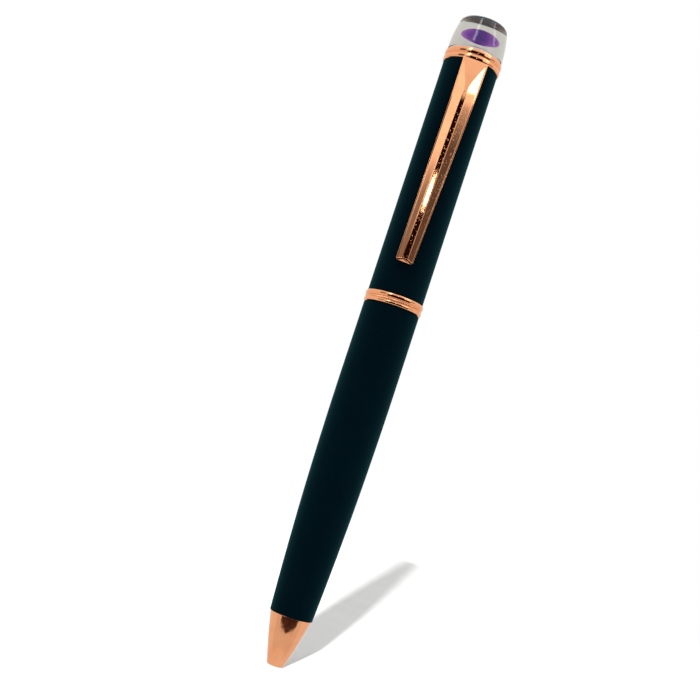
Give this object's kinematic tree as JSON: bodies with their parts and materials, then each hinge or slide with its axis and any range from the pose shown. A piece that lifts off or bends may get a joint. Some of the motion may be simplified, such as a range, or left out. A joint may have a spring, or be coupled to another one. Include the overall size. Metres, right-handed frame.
{
  "type": "counterfeit detector pen",
  "caption": "Slim twist-action metal ball pen with a pocket clip and an ultraviolet banknote-checking lamp under a clear crown.",
  "frame": {"origin": "centre of the nose's end face, on the pen's axis", "axes": "+Z along the pen from the nose to the crown; the pocket clip faces -Y"},
  "size_m": [0.012, 0.0143, 0.1361],
  "materials": {
    "rose_gold_trim": "polished rose-gold plating",
    "barrel_lacquer": "matte soft-touch lacquer, near-black teal",
    "clear_acrylic": "polished clear acrylic",
    "violet_filter": "violet ultraviolet-pass glass",
    "inner_brass": "turned brass",
    "spring_steel": "drawn spring steel",
    "nickel_silver": "drawn nickel silver",
    "cell_steel": "bright nickel-plated steel can",
    "black_plastic": "moulded",
    "white_plastic": "moulded",
    "led_epoxy": "clear cast epoxy with a faint violet tint",
    "tinned_wire": "tinned"
  },
  "bodies": {
    "lower_half": {"nose_cone": "rose_gold_trim", "nose_thread_insert": "inner_brass", "lower_barrel": "barrel_lacquer", "barrel_thread_insert": "inner_brass", "mechanism_sleeve": "inner_brass", "mechanism_circlip": "spring_steel"},
    "refill": {"refill_tip": "nickel_silver", "refill_ball": "spring_steel", "refill_tube": "nickel_silver", "refill_carrier": "white_plastic", "carrier_pin": "spring_steel"},
    "upper_half": {"twist_cam": "inner_brass", "cam_bush": "inner_brass", "upper_barrel": "barrel_lacquer", "centre_ring": "rose_gold_trim", "battery_tube": "black_plastic", "spring_contact": "inner_brass", "battery_spring": "spring_steel", "button_cell_1": "cell_steel", "button_cell_2": "cell_steel", "button_cell_3": "cell_steel", "switch_contact": "inner_brass", "lamp_guide": "inner_brass", "crown_spring": "spring_steel", "clip_ring": "rose_gold_trim"},
    "crown": {"crown_collar": "black_plastic", "crown_lens": "clear_acrylic", "uv_filter": "violet_filter", "uv_led": "led_epoxy", "led_anode_lead": "tinned_wire", "led_cathode_lead": "tinned_wire", "lamp_holder": "black_plastic"},
    "clip": {"pocket_clip": "rose_gold_trim"}
  },
  "joints": [
    {"name": "twist", "type": "hinge", "parent": "lower_half", "child": "upper_half", "pos_m": [0, 0, 0.0738], "axis": [0, 0, -1], "range_deg": [0, 180]},
    {"name": "refill_slide", "type": "slide", "parent": "lower_half", "child": "refill", "axis": [0, 0, -1], "range_m": [0, 0.005]},
    {"name": "crown_press", "type": "slide", "parent": "upper_half", "child": "crown", "axis": [0, 0, -1], "range_m": [0, 0.0003], "stiffness_N_per_m": 1000, "springref_m": -0.0005, "deforming": ["crown_spring"]},
    {"name": "clip_flex", "type": "hinge", "parent": "upper_half", "child": "clip", "pos_m": [0, -0.006, 0.1252], "axis": [-0.9996, 0, 0.0279], "range_deg": [0, 4], "stiffness_Nm_per_rad": 5, "springref_deg": -1.15}
  ],
  "couplings": [
    {"joint": "refill_slide", "follows": "twist", "m_per_rad": 0.0015915}
  ]
}
